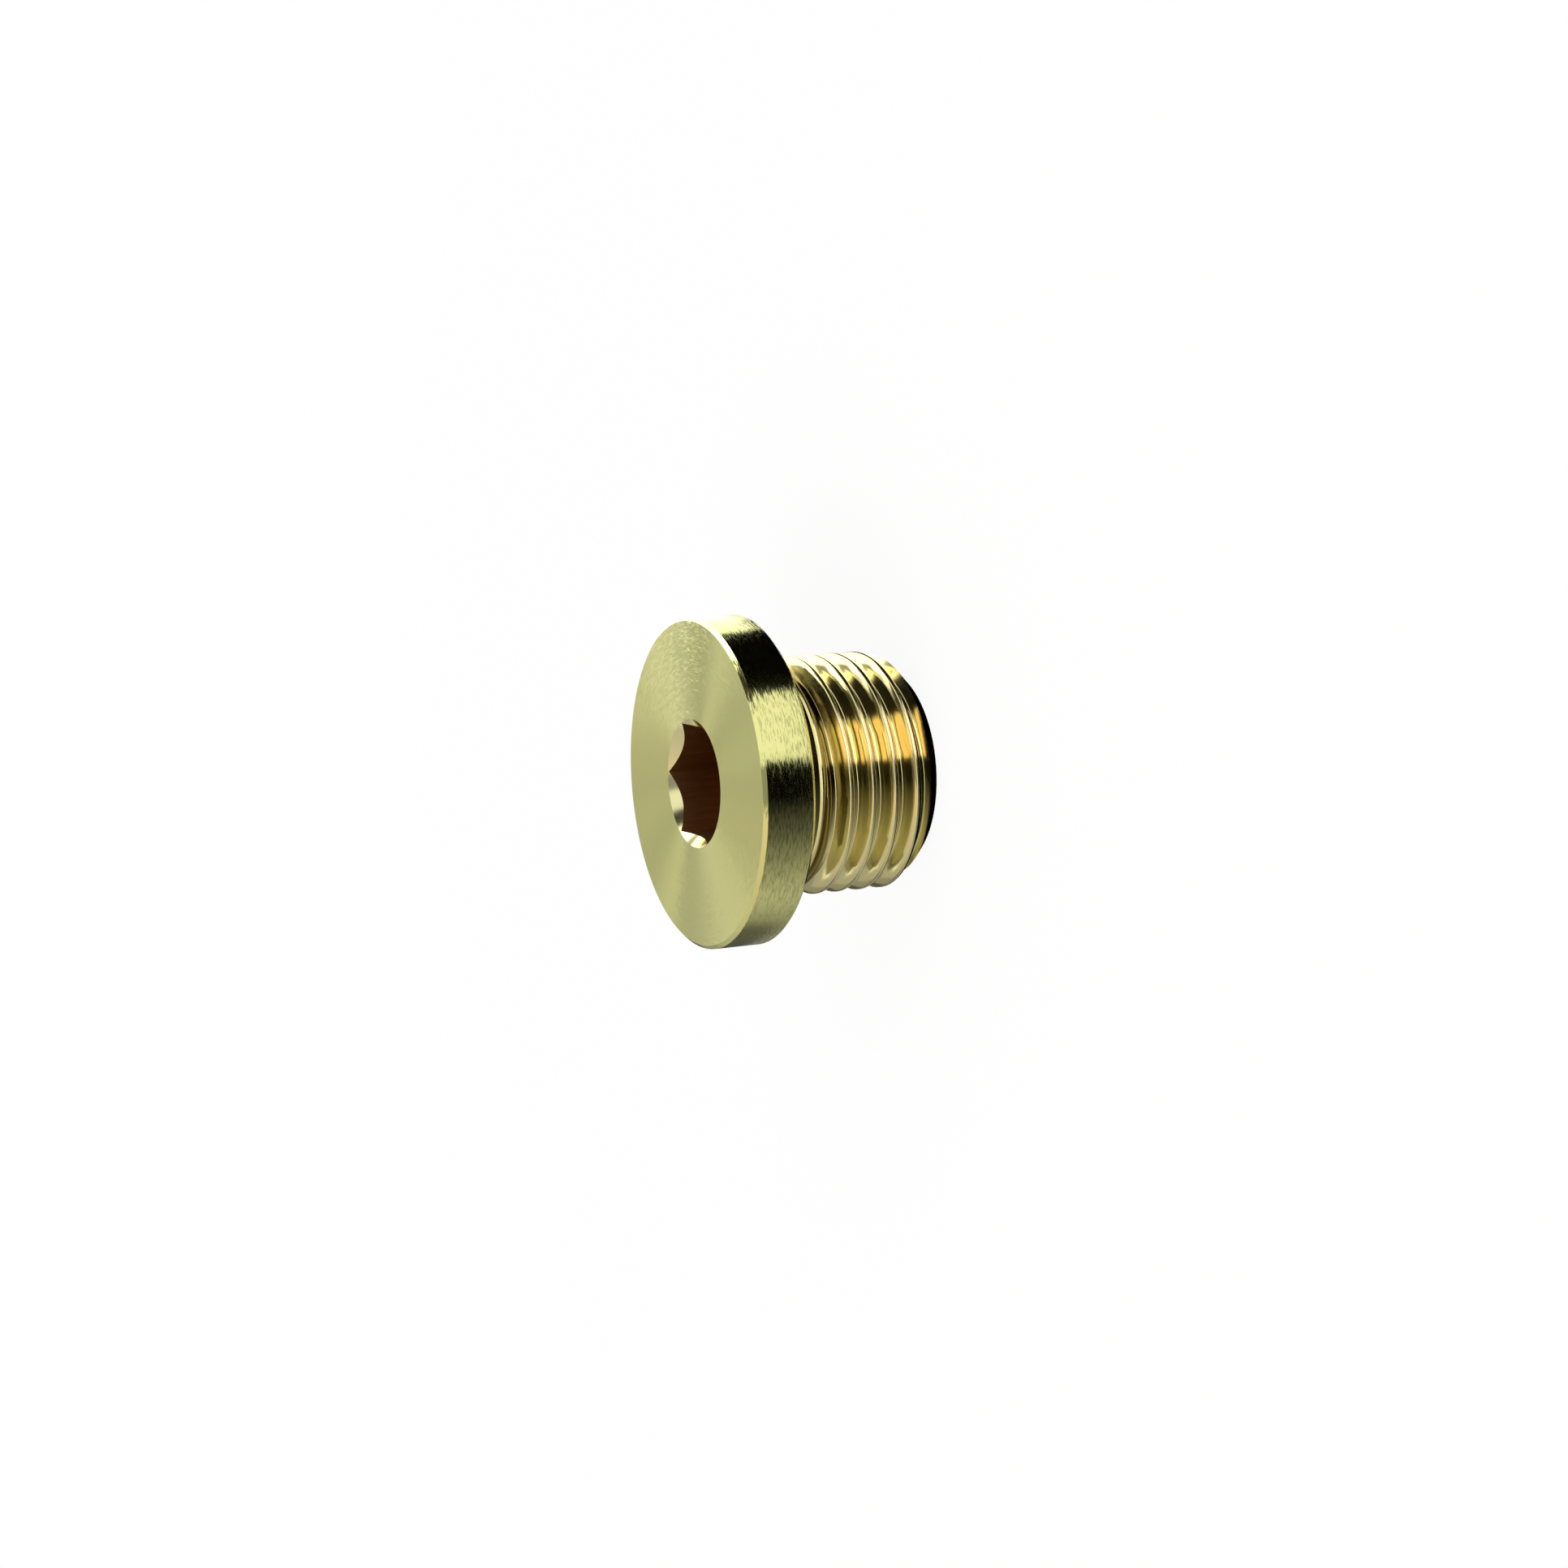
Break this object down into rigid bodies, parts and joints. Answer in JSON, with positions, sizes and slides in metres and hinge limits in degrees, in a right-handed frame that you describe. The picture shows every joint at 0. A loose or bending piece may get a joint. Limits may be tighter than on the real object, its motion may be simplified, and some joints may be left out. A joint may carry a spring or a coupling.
{
  "type": "hex socket plug",
  "caption": "Round screw plug with a collar, a parallel pipe thread and a countersunk hexagonal socket, for closing a tapped port.",
  "frame": {"origin": "centre of the flat end face of the thread, on which the plug stands", "axes": "+Z along the plug's axis, from the thread's end to the head with the socket; +X is normal to one flat of the hexagonal socket"},
  "size_m": [0.018, 0.018, 0.012],
  "materials": {
    "brass": "turned and rolled, bare, with fine tool lines on the collar and its face"
  },
  "bodies": {
    "root": {"plug_body": "brass"}
  },
  "joints": []
}
